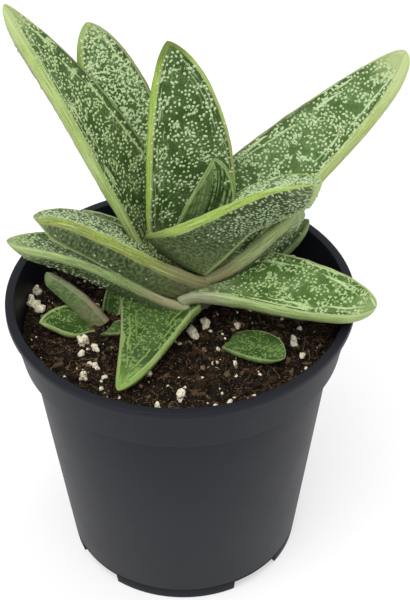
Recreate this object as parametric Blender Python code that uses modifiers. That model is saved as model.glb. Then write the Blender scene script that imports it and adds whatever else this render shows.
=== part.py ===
"""Potted gasteria: a young warty gasteria with an offset and a seedling leaf in a nursery pot.

Metres, +Z up. The origin is the centre of the pot's underside. The front of the
pot, from which the plant shows both rows of its leaves, looks along -Y, and +X
is on the right there. The sizes below are in millimetres and MM turns them into
metres where a mesh is made.
"""

import math
import random
from dataclasses import dataclass

import bmesh
import bpy
import numpy as np
from mathutils import Euler, Vector, noise

MM = 0.001
CLEARANCE = 0.3  # gap kept between neighbouring pieces

# Pot
RIM_RADIUS = 52.5
POT_HEIGHT = 97.0
BASE_RADIUS = 36.4
WALL = 1.4
LIP_HEIGHT = 2.2
LIP_WIDTH = 2.8
LIP_OVERHANG = 1.2  # lip past the band
BAND_BOTTOM = 80.4
BAND_BOTTOM_RADIUS = 48.8
BODY_TOP_RADIUS = 46.2
ROUNDING = 0.4
CREASE_HEIGHT = 4.2
CREASE_DEPTH = 0.2
FLOOR_UNDERSIDE = 4.0
FOOT_WIDTH = 3.0
PAD_RADIUS = 7.0
NOTCH_COUNT = 4
NOTCH_WIDTH = 17.6
NOTCH_HEIGHT = 3.8
FIRST_NOTCH = math.radians(-50)  # round the axis from +X
DRAIN_RADIUS = 4.0
DRAIN_FROM_AXIS = 24.0
ROUND_STEPS = 48

# Soil
SOIL_EDGE_HEIGHT = 85.0
SOIL_MOUND = 1.2  # centre above the edge
SOIL_RINGS = 11
SOIL_LUMP = 0.7
SOIL_LUMP_SPACING = 5.0
GRAIN_SUNK = 0.3
GRAIN_STRETCH = 1.25
GRAIN_SPREAD = (0.8, 1.15)
GRAIN_TILT = 0.4
CHIP_COUNT = 12
CHIP_SIZE = (3.4, 1.5, 1.2)
CHIP_SPREAD = (0.7, 1.3)
CHIP_TILT = 0.2
CHIP_REACH = (0.12, 0.7)  # least and most, as a share of the soil's area
SOIL_SEED = 7

# Stem
STEM_AXIS = (3.0, 10.0)
STEM_FOOT = 58.0
STEM_NECK = (77.0, 89.0)  # its thickest stretch, through the soil's surface
STEM_TOP = 106.0
STEM_FOOT_RADIUS = 4.0
STEM_NECK_RADIUS = 6.8
STEM_TOP_RADIUS = 4.5
STEM_ROUNDING = 1.4
STEM_ROUND_STEPS = 16

# Leaves
RING_SPACING = 5.4
MIN_RINGS = 8
TOP_POINTS = 7
SIDE_POINTS = 3  # from an edge band down to the keel
RING_CROWDING = 1.5  # over 1 brings the rings closer together towards the tip
WART_HEIGHT = 0.6
WART_SPREAD = (0.6, 1.0)  # shortest and tallest, as a share of the height
TIP_SHARE = 0.12  # the length over which a leaf thins to its tip
BAND_LEAST = 0.55  # height of an edge band where the leaf is narrowest, as a share of the full
BAND_BULGE = 0.18
SIDE_BULGE = 0.16
DEPTH_POWER = 0.8  # how closely the keel's depth follows the width
HOLLOW_POWER = 0.3  # how late along the leaf its channel runs out

# Looks
PLASTIC = ((0.045, 0.048, 0.055), 0.55)
POTTING_SOIL = ((0.03, 0.018, 0.01), 0.9)
STEM_TISSUE = ((0.30, 0.27, 0.14), 0.5)
LEAF_GREEN = ((0.08, 0.16, 0.05), 0.45)
YOUNG_GREEN = ((0.11, 0.20, 0.05), 0.45)


@dataclass
class Leaf:
    """One leaf, in millimetres. Its spine runs along the middle of its upper face."""

    name: str
    spine: tuple  # Bezier points: root, two handles, tip
    face: tuple  # where the upper face looks at the root
    face_tip: tuple  # and at the tip
    width: float
    depth: float  # of the keel below the edge bands
    edge: float  # height of the pale edge bands
    widest: float  # share of the length at which it is widest
    base: float = 1.0  # width at the root as a share of the full width
    taper: float = 2.1
    blunt: float = 0.6
    keel_side: float = 0.0  # keel off the middle, as a share of the half width
    channel: float = 2.0  # hollow of the upper face


# Inner leaves come first: each one is clasped by those after it
PLANT_LEAVES = (
    Leaf("leaf_heart", ((3.5, 8, 104), (6, 6, 116), (14, 7, 130), (10, 8.5, 140)),
         (-0.1, -0.9, 0.2), (-0.05, -0.9, 0.15), 15, 3, 1.5, 0.25, 0.85, 1.95, 0.75),
    Leaf("leaf_centre", ((2, 12, 96), (6, 15, 122), (3, 24, 150), (-3, 31, 165.5)),
         (0.25, -0.9, 0.2), (0.3, -0.9, 0.2), 27, 5.5, 3, 0.25, 0.85, 2.1, 0.78),
    Leaf("leaf_right_arched", ((2, 9, 111), (3, -2, 128), (27, 7, 138), (39.5, -7, 142)),
         (0.05, 0.35, 0.95), (-0.1, 0.4, 0.85), 25, 8, 3.5, 0.55, 1, 1.95, 0.78, -0.45),
    Leaf("leaf_right_tall", ((5, 13, 97), (11, 21, 115), (38, 30, 128), (67, 36, 158)),
         (-0.25, -0.85, 0.65), (-0.5, -0.5, 0.85), 25, 5.5, 2.9, 0.2, 0.85, 2.1, 0.5),
    Leaf("leaf_left_tall", ((-1, 12, 92), (-9, 22, 119), (-27, 26, 152), (-50, 36, 175)),
         (0.65, -0.7, 0.5), (0.6, -0.05, 0.45), 20.5, 5.5, 3.8, 0.45, 0.75, 1.55, 0.65),
    Leaf("leaf_back", ((2, 16, 94), (-8, 23, 119), (-20, 38, 148), (-27, 44, 164)),
         (0.3, -0.8, 0.4), (0.3, -0.8, 0.4), 21.5, 5.5, 3, 0.45, 0.85, 2.1, 0.7),
    Leaf("leaf_right_edge", ((4, 8, 98), (18, 10, 101), (26, 17, 109), (36.5, 10, 118.5)),
         (-0.45, 0.45, 0.65), (-0.45, 0.45, 0.7), 20, 2.2, 4, 0.4, 1, 2.6, 0.55),
    Leaf("leaf_left_upper", ((3, 8, 100), (-8, 1, 111), (-32, 14, 123), (-42, 10, 119)),
         (0.25, 0.4, 0.85), (0.3, 0.4, 0.8), 21.5, 7.5, 3.9, 0.2, 1, 2.1, 0.6, -0.2),
    Leaf("leaf_right_back", ((4, 13, 95), (15, 17, 95), (28, 22, 97), (39.5, 25, 105)),
         (-0.3, -0.3, 0.9), (-0.3, -0.3, 0.9), 16, 4, 2.6, 0.3, 0.85, 2.2, 0.7),
    Leaf("leaf_left_back", ((0, 14, 95), (-10, 20, 96), (-20, 28, 99), (-31, 36, 101)),
         (0.1, 0.1, 0.9), (0.1, 0.1, 0.9), 16, 4, 2.6, 0.3, 0.85, 2.2, 0.7),
    Leaf("leaf_right_low", ((2, 6, 97), (10, 5, 107), (37, -7, 105), (57, -15.5, 104)),
         (-0.05, 0.15, 1), (-0.1, -0.2, 0.9), 23, 5.5, 4, 0.35, 0.95, 2.25, 0.63),
    Leaf("leaf_left_low", ((6, 3, 94), (-15, 11, 95.5), (-25, 11, 110), (-51.5, 6.5, 112)),
         (0.15, 0.25, 0.95), (0.1, 0.2, 0.9), 20, 6.5, 3, 0.35, 1, 2.1, 0.5, -0.15),
    Leaf("leaf_front_low", ((-3.5, 3, 93.5), (-8, -4, 98), (-8, -17.5, 95), (-18, -34, 89)),
         (-0.25, -0.3, 0.9), (-0.2, -0.5, 0.8), 25, 3.2, 2.6, 0.23, 0.9, 0.95, 0.62),
)
YOUNG_LEAVES = (
    Leaf("offset_leaf_upper", ((-24, 2, 84), (-28, 4, 89), (-34, 7, 94), (-41, 9, 97.5)),
         (0.35, 0.8, 0.35), (0.35, 0.8, 0.35), 8.5, 2.5, 2, 0.3, 0.9, 2.4, 0.5, 0, 0.6),
    Leaf("offset_leaf_left", ((-25, -1, 85), (-30, -2, 88), (-36, -2, 90), (-43, -3, 90)),
         (0, -0.1, 1), (0, -0.1, 1), 12.5, 2.5, 1.6, 0.45, 0.45, 1.6, 0.8, 0, 1),
    Leaf("offset_leaf_back", ((-22, 3, 84), (-21, 5, 88), (-20.5, 6.5, 91), (-20.5, 7, 94.5)),
         (-0.3, -0.8, 0.5), (-0.3, -0.8, 0.5), 6, 2, 1.2, 0.3, 0.85, 2.4, 0.6, 0, 0.5),
    Leaf("offset_leaf_front", ((-23, -2, 84), (-21.5, -4, 88), (-19.5, -6.5, 89.5), (-17, -9, 89.5)),
         (-0.2, 0, 1), (-0.2, 0, 1), 7, 2, 1.2, 0.3, 0.85, 2.2, 0.6, 0, 0.5),
    Leaf("seedling_leaf", ((11, -6, 84), (16, -10, 89), (23, -15, 91), (30.5, -21, 89)),
         (0.1, -0.1, 1), (0.1, -0.1, 1), 12.5, 2.5, 1.6, 0.45, 0.5, 2.6, 0.6, 0, 0.6),
)
# Perlite grains that show: x, y and size
GRAINS = (
    (-43, 8, 4.6), (-43, 15, 3), (7.5, -3, 4), (3.5, -6.5, 3), (-29, -10, 4), (-25.5, -12.5, 2.2),
    (-29.5, -14.5, 2.2), (-28.5, -25, 3.8), (-25, -20.5, 2.2), (-6.5, -38, 2.8), (0, -33, 3.6),
    (-3, -42, 2.6), (14, -36, 2.2), (10, -38, 2), (17, -3, 2.6), (36, -4, 2), (34, -10, 3),
    (36, -16, 2.4), (35, 27.5, 3.6), (24, 36, 2.6), (-19, 40, 3), (5, 43, 2.4), (42, 8, 2.2),
)


def clear_scene():
    for obj in list(bpy.data.objects):
        bpy.data.objects.remove(obj)


def collection(name, visible=True):
    made = bpy.data.collections.new(name)
    made.hide_render = not visible
    bpy.context.scene.collection.children.link(made)
    return made


def material(name, colour, roughness, metallic=0.0):
    made = bpy.data.materials.new(name)
    made.use_nodes = True
    shader = made.node_tree.nodes["Principled BSDF"]
    shader.inputs["Base Color"].default_value = (*colour, 1)
    shader.inputs["Roughness"].default_value = roughness
    shader.inputs["Metallic"].default_value = metallic
    return made


def link(obj, target, look=None):
    for home in obj.users_collection:
        home.objects.unlink(obj)
    target.objects.link(obj)
    if look:
        obj.data.materials.clear()
        obj.data.materials.append(look)
    return obj


def applied(obj):
    """The object's mesh with its modifiers applied."""
    graph = bpy.context.evaluated_depsgraph_get()
    mesh = bpy.data.meshes.new_from_object(obj.evaluated_get(graph))
    obj.modifiers.clear()
    old = obj.data
    obj.data = mesh
    bpy.data.meshes.remove(old)
    return obj


def keep_largest_body(mesh):
    """Drops the scraps that a cut leaves beside the main body."""
    shape = bmesh.new()
    shape.from_mesh(mesh)
    left = set(shape.verts)
    bodies = []
    while left:
        edge_of_search = [left.pop()]
        body = set(edge_of_search)
        while edge_of_search:
            near = {e.other_vert(v) for v in edge_of_search for e in v.link_edges} - body
            body |= near
            edge_of_search = list(near)
        left -= body
        bodies.append(body)
    bodies.sort(key=len)
    bmesh.ops.delete(shape, geom=[v for body in bodies[:-1] for v in body], context="VERTS")
    shape.to_mesh(mesh)
    shape.free()


def turned(name, profile, steps=ROUND_STEPS):
    """A profile of (radius, height) turned round Z. It runs down its outer side."""
    mesh = bpy.data.meshes.new(name)
    points = [(r * MM, 0, z * MM) for r, z in profile]
    mesh.from_pydata(points, [(i, i + 1) for i in range(len(points) - 1)], [])
    obj = bpy.data.objects.new(name, mesh)
    bpy.context.scene.collection.objects.link(obj)
    screw = obj.modifiers.new("turn", "SCREW")
    screw.steps = screw.render_steps = steps
    screw.use_merge_vertices = True
    screw.merge_threshold = 0.00001
    return obj


def cut(obj, cutter, solver="EXACT"):
    boolean = obj.modifiers.new(cutter.name, "BOOLEAN")
    boolean.operation = "DIFFERENCE"
    boolean.object = cutter
    boolean.solver = solver


def boxes_meet(a, b):
    pairs = []
    for obj in (a, b):
        points = np.array([obj.matrix_world @ v.co for v in obj.data.vertices])
        pairs.append((points.min(0), points.max(0)))
    (low_a, high_a), (low_b, high_b) = pairs
    return bool((low_a < high_b).all() and (low_b < high_a).all())


def grown_copy(obj, cutters, by=CLEARANCE):
    """A cutter: the object with its surface moved out by the clearance."""
    mesh = obj.data.copy()
    normals = [v.normal.copy() for v in mesh.vertices]
    for vertex, normal in zip(mesh.vertices, normals):
        vertex.co += normal * by * MM
    grown = bpy.data.objects.new(obj.name + "_clearance", mesh)
    grown.hide_render = True
    grown.display_type = "WIRE"
    cutters.objects.link(grown)
    return grown


def cut_clear(obj, cutters):
    """Cuts the object clear of each cutter it meets. EXACT loses whole leaves in this crowd."""
    for cutter in cutters:
        if boxes_meet(obj, cutter):
            cut(obj, cutter, "MANIFOLD")
    applied(obj)
    keep_largest_body(obj.data)


def band_radius(z):
    share = (z - BAND_BOTTOM) / (POT_HEIGHT - LIP_HEIGHT - BAND_BOTTOM)
    return BAND_BOTTOM_RADIUS + share * (RIM_RADIUS - LIP_OVERHANG - BAND_BOTTOM_RADIUS)


def body_radius(z):
    return BASE_RADIUS + (BODY_TOP_RADIUS - BASE_RADIUS) * z / BAND_BOTTOM


def inside_profile(gap=0.0):
    """The pot's inner wall from the floor up to the band's shelf, brought in by a gap."""
    floor = FLOOR_UNDERSIDE + WALL + gap
    shelf = BAND_BOTTOM + WALL
    in_by = WALL + gap
    return [
        (body_radius(floor) - in_by, floor),
        (body_radius(BAND_BOTTOM) - in_by, shelf + gap),
        (band_radius(shelf) - in_by, shelf + gap),
    ]


def pot_profile():
    r, top, lip_bottom = RIM_RADIUS, POT_HEIGHT, POT_HEIGHT - LIP_HEIGHT
    foot_inner = BASE_RADIUS - FOOT_WIDTH
    inside = inside_profile()
    return [
        (0, inside[0][1]),
        *inside,
        (r - LIP_WIDTH, lip_bottom),
        (r - LIP_WIDTH, top - ROUNDING),
        (r - LIP_WIDTH + ROUNDING, top),
        (r - ROUNDING, top),
        (r, top - ROUNDING),
        (r, lip_bottom + ROUNDING),
        (r - ROUNDING, lip_bottom),
        (band_radius(lip_bottom), lip_bottom),
        (band_radius(BAND_BOTTOM + ROUNDING), BAND_BOTTOM + ROUNDING),
        (BAND_BOTTOM_RADIUS - ROUNDING, BAND_BOTTOM),
        (BODY_TOP_RADIUS, BAND_BOTTOM),
        (body_radius(CREASE_HEIGHT + ROUNDING), CREASE_HEIGHT + ROUNDING),
        (body_radius(CREASE_HEIGHT) - CREASE_DEPTH, CREASE_HEIGHT),
        (body_radius(CREASE_HEIGHT - ROUNDING), CREASE_HEIGHT - ROUNDING),
        (BASE_RADIUS, ROUNDING),
        (BASE_RADIUS - ROUNDING, 0),
        (foot_inner, 0),
        (foot_inner - ROUNDING, FLOOR_UNDERSIDE),
        (PAD_RADIUS + ROUNDING, FLOOR_UNDERSIDE),
        (PAD_RADIUS, 0),
        (0, 0),
    ]


def notch_cutter(angle, cutters):
    """A box across the foot ring, open below."""
    bpy.ops.mesh.primitive_cube_add(size=1)
    notch = bpy.context.object
    notch.name = "notch_cutter"
    notch.dimensions = (4 * FOOT_WIDTH * MM, NOTCH_WIDTH * MM, 2 * NOTCH_HEIGHT * MM)
    reach = BASE_RADIUS * MM
    notch.location = (reach * math.cos(angle), reach * math.sin(angle), 0)
    notch.rotation_euler.z = angle
    return as_cutter(notch, cutters)


def drain_cutter(angle, cutters):
    bpy.ops.mesh.primitive_cylinder_add(radius=DRAIN_RADIUS * MM, depth=6 * WALL * MM, vertices=16)
    drain = bpy.context.object
    drain.name = "drain_cutter"
    reach = DRAIN_FROM_AXIS * MM
    drain.location = (reach * math.cos(angle), reach * math.sin(angle), FLOOR_UNDERSIDE * MM)
    return as_cutter(drain, cutters)


def as_cutter(obj, cutters):
    obj.hide_render = True
    obj.display_type = "WIRE"
    return link(obj, cutters)


def build_pot(parts, cutters):
    pot = link(turned("pot", pot_profile()), parts,
               material("charcoal plastic", *PLASTIC))
    for i in range(NOTCH_COUNT):
        angle = FIRST_NOTCH + i * math.tau / NOTCH_COUNT
        cut(pot, notch_cutter(angle, cutters))
        cut(pot, drain_cutter(angle, cutters))
    pot.data.shade_smooth()
    return pot


def build_stem(parts):
    """The short stem that carries the rosette, with its foot in the soil."""
    profile = [
        (0, STEM_TOP),
        (STEM_TOP_RADIUS - STEM_ROUNDING, STEM_TOP - STEM_ROUNDING / 2),
        (STEM_TOP_RADIUS, STEM_TOP - 2 * STEM_ROUNDING),
        (STEM_NECK_RADIUS, STEM_NECK[1]),
        (STEM_NECK_RADIUS, STEM_NECK[0]),
        (STEM_FOOT_RADIUS, STEM_FOOT + STEM_ROUNDING),
        (0, STEM_FOOT),
    ]
    stem = applied(turned("stem", profile, STEM_ROUND_STEPS))
    for vertex in stem.data.vertices:
        vertex.co += Vector((*STEM_AXIS, 0)) * MM
    return link(stem, parts, material("stem tissue", *STEM_TISSUE))


def spine_point(spine, t):
    a, b, c, d = (np.array(p, float) for p in spine)
    s = 1 - t
    return s**3 * a + 3 * s * s * t * b + 3 * s * t * t * c + t**3 * d


def spine_direction(spine, t):
    step = 1e-3
    low = min(t, 1 - step)
    along = spine_point(spine, low + step) - spine_point(spine, low)
    return along / np.linalg.norm(along)


def spine_length(spine):
    points = [spine_point(spine, t) for t in np.linspace(0, 1, 21)]
    return sum(np.linalg.norm(b - a) for a, b in zip(points, points[1:]))


def half_width(leaf, t):
    """Half the leaf's width at a share t of its length."""
    if t < leaf.widest:
        u = t / leaf.widest
        share = leaf.base + (1 - leaf.base) * u * u * (3 - 2 * u)
    else:
        u = (t - leaf.widest) / (1 - leaf.widest)
        share = max(0.0, 1 - u**leaf.taper) ** leaf.blunt
    return leaf.width / 2 * share


def section(leaf, t, ring):
    """Points across the leaf: upper face, edge band, underside with its keel, edge band."""
    half = half_width(leaf, t)
    share = 2 * half / leaf.width
    thin = math.sqrt(1 - (1 - min(1, (1 - t) / TIP_SHARE)) ** 2)
    band = leaf.edge * thin * (BAND_LEAST + (1 - BAND_LEAST) * share)
    deep = band + leaf.depth * thin * share**DEPTH_POWER
    hollow = leaf.channel * share * (1 - t) ** HOLLOW_POWER
    keel = leaf.keel_side * half
    wart = WART_HEIGHT * thin * share
    chance = random.Random(f"{leaf.name} {ring}")
    points = []
    for i in range(TOP_POINTS):
        x = 1 - 2 * i / (TOP_POINTS - 1)
        inside = 0 < i < TOP_POINTS - 1 and (i + ring) % 2 == 0
        bump = wart * chance.uniform(*WART_SPREAD) if inside else 0
        points.append((x * half, -hollow * (1 - x * x) + bump))
    sides = []
    for edge_x in (-half, half):
        sides.append([])
        for i in range(SIDE_POINTS):
            s = i / SIDE_POINTS
            x = edge_x + (keel - edge_x) * s
            y = -band - (deep - band) * (s + SIDE_BULGE * math.sin(math.pi * s))
            inside = i > 0 and (i + ring) % 2 == 0
            bump = wart * chance.uniform(*WART_SPREAD) if inside else 0
            sides[-1].append((x, y - bump))
    bulge = half + BAND_BULGE * band
    left, right = sides
    under = [(-bulge, -band / 2), *left, (keel, -deep), *right[::-1], (bulge, -band / 2)]
    return points + under


def leaf_mesh(leaf):
    """A loft of the sections along the spine, closed at the root and drawn to a point."""
    count = max(MIN_RINGS, round(spine_length(leaf.spine) / RING_SPACING))
    shape = bmesh.new()
    rings = []
    for k in range(count):
        t = 1 - (1 - k / count) ** RING_CROWDING
        at = spine_point(leaf.spine, t)
        along = spine_direction(leaf.spine, t)
        look = np.array(leaf.face) * (1 - t) + np.array(leaf.face_tip) * t
        up = look - along * (look @ along)
        up /= np.linalg.norm(up)
        across = np.cross(along, up)
        ring = [at + x * across + y * up for x, y in section(leaf, t, k)]
        rings.append([shape.verts.new(Vector(p) * MM) for p in ring])
    hollow_middle, keel = rings[0][TOP_POINTS // 2], rings[0][TOP_POINTS + SIDE_POINTS + 1]
    root = shape.verts.new((hollow_middle.co + keel.co) / 2)
    tip = shape.verts.new(Vector(spine_point(leaf.spine, 1)) * MM)
    size = len(rings[0])
    for low, high in zip(rings, rings[1:]):
        for i in range(size):
            j = (i + 1) % size
            shape.faces.new((low[i], low[j], high[j], high[i]))
    for i in range(size):
        j = (i + 1) % size
        shape.faces.new((rings[-1][i], rings[-1][j], tip))
        shape.faces.new((rings[0][j], rings[0][i], root))
    bmesh.ops.triangulate(shape, faces=shape.faces)
    bmesh.ops.recalc_face_normals(shape, faces=shape.faces)
    mesh = bpy.data.meshes.new(leaf.name)
    shape.to_mesh(mesh)
    shape.free()
    return mesh


def build_leaf(leaf, parts, look):
    obj = bpy.data.objects.new(leaf.name, leaf_mesh(leaf))
    link(obj, parts, look)
    obj.data.shade_smooth()
    return obj


def build_leaves(parts, cutters, stem):
    """Each leaf is cut clear of the stem and of every leaf inside it."""
    green = material("leaf green", *LEAF_GREEN)
    young = material("young leaf green", *YOUNG_GREEN)
    clear_of = [grown_copy(stem, cutters)]
    for leaf in PLANT_LEAVES + YOUNG_LEAVES:
        obj = build_leaf(leaf, parts, young if leaf in YOUNG_LEAVES else green)
        grown = grown_copy(obj, cutters)
        cut_clear(obj, clear_of)
        clear_of.append(grown)
    return clear_of


def soil_height(x, y):
    """The lumpy top of the soil at a place in millimetres."""
    reach = math.hypot(x, y) / BAND_BOTTOM_RADIUS
    lump = noise.noise(Vector((x, y, 0)) / SOIL_LUMP_SPACING)
    crumb = noise.noise(Vector((x, y, 40)) * 2 / SOIL_LUMP_SPACING)
    return SOIL_EDGE_HEIGHT + SOIL_MOUND * (1 - reach) + SOIL_LUMP * (lump + crumb / 2)


def soil_body():
    edge_radius = band_radius(SOIL_EDGE_HEIGHT) - WALL - CLEARANCE
    top = [(edge_radius * i / SOIL_RINGS, SOIL_EDGE_HEIGHT) for i in range(SOIL_RINGS + 1)]
    wall = inside_profile(CLEARANCE)[::-1]
    soil = applied(turned("soil", [*top, *wall, (0, wall[-1][1])]))
    for vertex in soil.data.vertices:
        x, y, z = vertex.co / MM
        if z > SOIL_EDGE_HEIGHT - CLEARANCE:
            vertex.co.z = soil_height(x, y) * MM
    return soil


def grain(x, y, size, chance, target):
    """A perlite grain, its lower part sunk in the soil."""
    bpy.ops.mesh.primitive_ico_sphere_add(subdivisions=1, radius=size / 2 * MM)
    obj = bpy.context.object
    for vertex in obj.data.vertices:
        vertex.co *= chance.uniform(*GRAIN_SPREAD)
        vertex.co.x *= GRAIN_STRETCH
    obj.data.transform(random_turn(chance, GRAIN_TILT).to_matrix().to_4x4())
    lift = (0.5 - GRAIN_SUNK) * size
    obj.location = Vector((x, y, soil_height(x, y) + lift)) * MM
    return link(obj, target)


def chip(chance, target):
    """A splinter of bark lying nearly flat."""
    angle = chance.uniform(0, math.tau)
    reach = BAND_BOTTOM_RADIUS * math.sqrt(chance.uniform(*CHIP_REACH))
    x, y = reach * math.cos(angle), reach * math.sin(angle)
    bpy.ops.mesh.primitive_cube_add(size=1)
    obj = bpy.context.object
    obj.scale = [side * chance.uniform(*CHIP_SPREAD) * MM for side in CHIP_SIZE]
    obj.rotation_euler = random_turn(chance, CHIP_TILT)
    obj.location = Vector((x, y, soil_height(x, y))) * MM
    return link(obj, target)


def random_turn(chance, tilt):
    """Any way round, and a little off level."""
    return Euler((chance.uniform(-tilt, tilt), chance.uniform(-tilt, tilt), chance.uniform(0, math.tau)))


def build_soil(parts, cutters, clear_of):
    """Soil with its perlite and bark fused in, and plain holes for what stands in it."""
    soil = link(soil_body(), parts, material("potting soil", *POTTING_SOIL))
    bits = collection("soil bits", visible=False)
    chance = random.Random(SOIL_SEED)
    for x, y, size in GRAINS:
        grain(x, y, size, chance, bits)
    for _ in range(CHIP_COUNT):
        chip(chance, bits)
    union = soil.modifiers.new("bits", "BOOLEAN")
    union.operation = "UNION"
    union.operand_type = "COLLECTION"
    union.solver = "MANIFOLD"
    union.collection = bits
    applied(soil)
    for obj in list(bits.objects):
        bpy.data.objects.remove(obj)
    bpy.data.collections.remove(bits)
    cut_clear(soil, clear_of)
    return soil


def main():
    clear_scene()
    parts = collection("potted gasteria")
    cutters = collection("cutters", visible=False)
    build_pot(parts, cutters)
    stem = build_stem(parts)
    clear_of = build_leaves(parts, cutters, stem)
    build_soil(parts, cutters, clear_of)


main()
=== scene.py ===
"""Looks of the potted gasteria: fine warty leaves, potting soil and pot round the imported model.

The sizes below are in millimetres, and MM turns them into the frame's metres. Node maths is
written as Python expressions on Value objects.
"""

import math
from dataclasses import astuple, dataclass

import bmesh
import bpy
from mathutils import Matrix, Vector


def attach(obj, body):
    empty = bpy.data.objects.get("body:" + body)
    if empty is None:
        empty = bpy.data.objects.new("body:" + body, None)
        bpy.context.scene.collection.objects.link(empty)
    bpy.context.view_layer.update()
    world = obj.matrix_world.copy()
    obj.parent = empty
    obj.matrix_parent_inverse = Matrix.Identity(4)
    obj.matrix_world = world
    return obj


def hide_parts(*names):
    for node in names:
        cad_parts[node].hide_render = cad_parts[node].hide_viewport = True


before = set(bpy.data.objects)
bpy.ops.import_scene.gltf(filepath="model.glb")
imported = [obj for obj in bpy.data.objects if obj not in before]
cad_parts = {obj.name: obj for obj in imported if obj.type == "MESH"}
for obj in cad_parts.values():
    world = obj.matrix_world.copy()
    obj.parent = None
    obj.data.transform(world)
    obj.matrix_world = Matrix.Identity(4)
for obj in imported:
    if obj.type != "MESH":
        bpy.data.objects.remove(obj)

MM = 0.001
BODY = "root"

# Camera, fitted to the pot's rim and foot
CAMERA_TILT = math.radians(40.19)  # below the horizon
CAMERA_ROLL = math.radians(-0.41)
CAMERA_DISTANCE = 511.3
CAMERA_TARGET = (7.33, 0.0, 94.0)
CAMERA_LENS = 102
CAMERA_SENSOR = 36
CAMERA_REACH = (0.01, 100)  # nearest and furthest, in metres

# Light
SKY_STRENGTH = 0.80
LIGHT_SIZE = 900
KEY_PLACE = (-350, -500, 1100)
KEY_POWER = 9.0
FILL_PLACE = (700, 300, 800)
FILL_POWER = 3.0
FLOOR_SIZE = 6000
FLOOR_GLOW = 0.48

# Pot
RIM_RADIUS = 52.5
POT_HEIGHT = 97.0
BASE_RADIUS = 36.4
WALL = 1.4
LIP_HEIGHT = 2.2
LIP_WIDTH = 2.8
LIP_OVERHANG = 1.2
BAND_BOTTOM = 80.4
BAND_BOTTOM_RADIUS = 48.8
BODY_TOP_RADIUS = 46.2
ROUNDING = 0.4
CORNER_STEPS = 4
CREASE_HEIGHT = 4.2
CREASE_DEPTH = 0.25
FLOOR_UNDERSIDE = 4.0
FOOT_WIDTH = 3.0
PAD_RADIUS = 7.0
NOTCH_COUNT = 4
NOTCH_WIDTH = 17.6
NOTCH_HEIGHT = 3.8
FIRST_NOTCH = math.radians(-50)
DRAIN_RADIUS = 4.0
DRAIN_FROM_AXIS = 24.0
DRAIN_STEPS = 32
TURN_STEPS = 144
SHARP_EDGE = math.radians(35)


def band_radius(z):
    share = (z - BAND_BOTTOM) / (POT_HEIGHT - LIP_HEIGHT - BAND_BOTTOM)
    return BAND_BOTTOM_RADIUS + share * (RIM_RADIUS - LIP_OVERHANG - BAND_BOTTOM_RADIUS)


def body_radius(z):
    return BASE_RADIUS + (BODY_TOP_RADIUS - BASE_RADIUS) * z / BAND_BOTTOM


# Soil
SOIL_EDGE_HEIGHT = 85.0
SOIL_MOUND = 1.2
SOIL_LUMP = 1.7
SOIL_LUMP_SPACING = 5.0
SOIL_CELLS = 200
SOIL_SEED = 7  # of the first kind of loose bits, and one more for each after it
SOIL_LIP = 1.5  # depth of its upright edge
FIT_GAP = 0.3  # to the pot's wall
CRUMB_SPACING = 1.3
CRUMB_HEIGHT = 1.2
GRAIN_SUNK = 0.3
FIBRE_STEPS = 7
FIBRE_THICK = 0.12

SOIL_RADIUS = band_radius(SOIL_EDGE_HEIGHT) - WALL - FIT_GAP
SOIL_CLEAR = SOIL_RADIUS - 1.2  # where loose bits end

# Leaf surface
TOP_STEPS, EDGE_STEPS, SIDE_STEPS = 14, 4, 14  # mesh steps across half a section
STEPS_ALONG = 84
TIP_CROWDING = 1.7  # how much closer the rings stand towards the tip
TIP_SHARE = 0.12  # share of the length in which a leaf thins out to its tip
POINT_SHARE = 0.25  # and in which pointed bands thin out to the root
BAND_LEAST = 0.55  # share of its height that a band keeps where the leaf is narrow
BAND_BULGE, SIDE_BULGE = 0.18, 0.16  # as shares of a band's height and a side's depth
DEPTH_POWER = 0.8  # how the keel's depth follows the leaf's width
HOLLOW_POWER = 0.3  # how the face's hollow fades towards the tip
WAVE_SPACING, WAVE_HEIGHT = 9.0, 0.9  # soft waves of the whole surface
RIPPLE_SPACING, RIPPLE_HEIGHT = 2.5, 0.45
GAUSS = ((0.0694, 0.1739), (0.3300, 0.3261), (0.6700, 0.3261), (0.9306, 0.1739))  # places, weights
MAP_SHIFT = 130  # between one leaf's flat map and the next
EDGE_SHIFT = 30  # and between the lines along its two edges
WART_ENDS = (0.08, 0.95)  # shares of the length between which they grow
WART_SPACING = 1.05
WART_RADIUS = (0.32, 0.54)
WART_FLATNESS = 0.45  # on the face
UNDER_FLATNESS = 0.55
YOUNG_WARTS = 0.7  # size on young leaves
WART_CROWD = 2.5  # most warts on a square millimetre
FACE_CLEAR = 0.8  # bare strip between the warts and the edge bands
UNDER_CLEAR = 2.2  # and below the bands
MERGE = 0.01  # points nearer than this become one
LEAF_PLACES = ("Root", "Reach", "Bow", "Tip", "Face", "Turn")  # inputs of a leaf's tree
LEAF_NUMBERS = ("Width", "Depth", "Edge", "Widest", "Base", "Taper", "Blunt", "Keel", "Channel",
                "Pointed")


@dataclass
class Leaf:
    """One leaf, in millimetres, close to its solid. Its spine runs up its upper face."""

    name: str
    spine: tuple  # Bezier points: root, two handles, tip
    face: tuple  # where the upper face looks at the root
    face_tip: tuple  # and at the tip
    width: float
    depth: float  # of the keel below the edge bands
    edge: float  # height of the pale edge bands
    widest: float  # share of the length at which it is widest
    base: float = 1.0  # width at the root as a share of the full width
    taper: float = 2.1
    blunt: float = 0.6
    keel_side: float = 0.0  # keel off the middle, as a share of the half width
    channel: float = 2.0  # hollow of the upper face
    pointed: float = 0.0  # how far the bands thin out at the root


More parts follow.
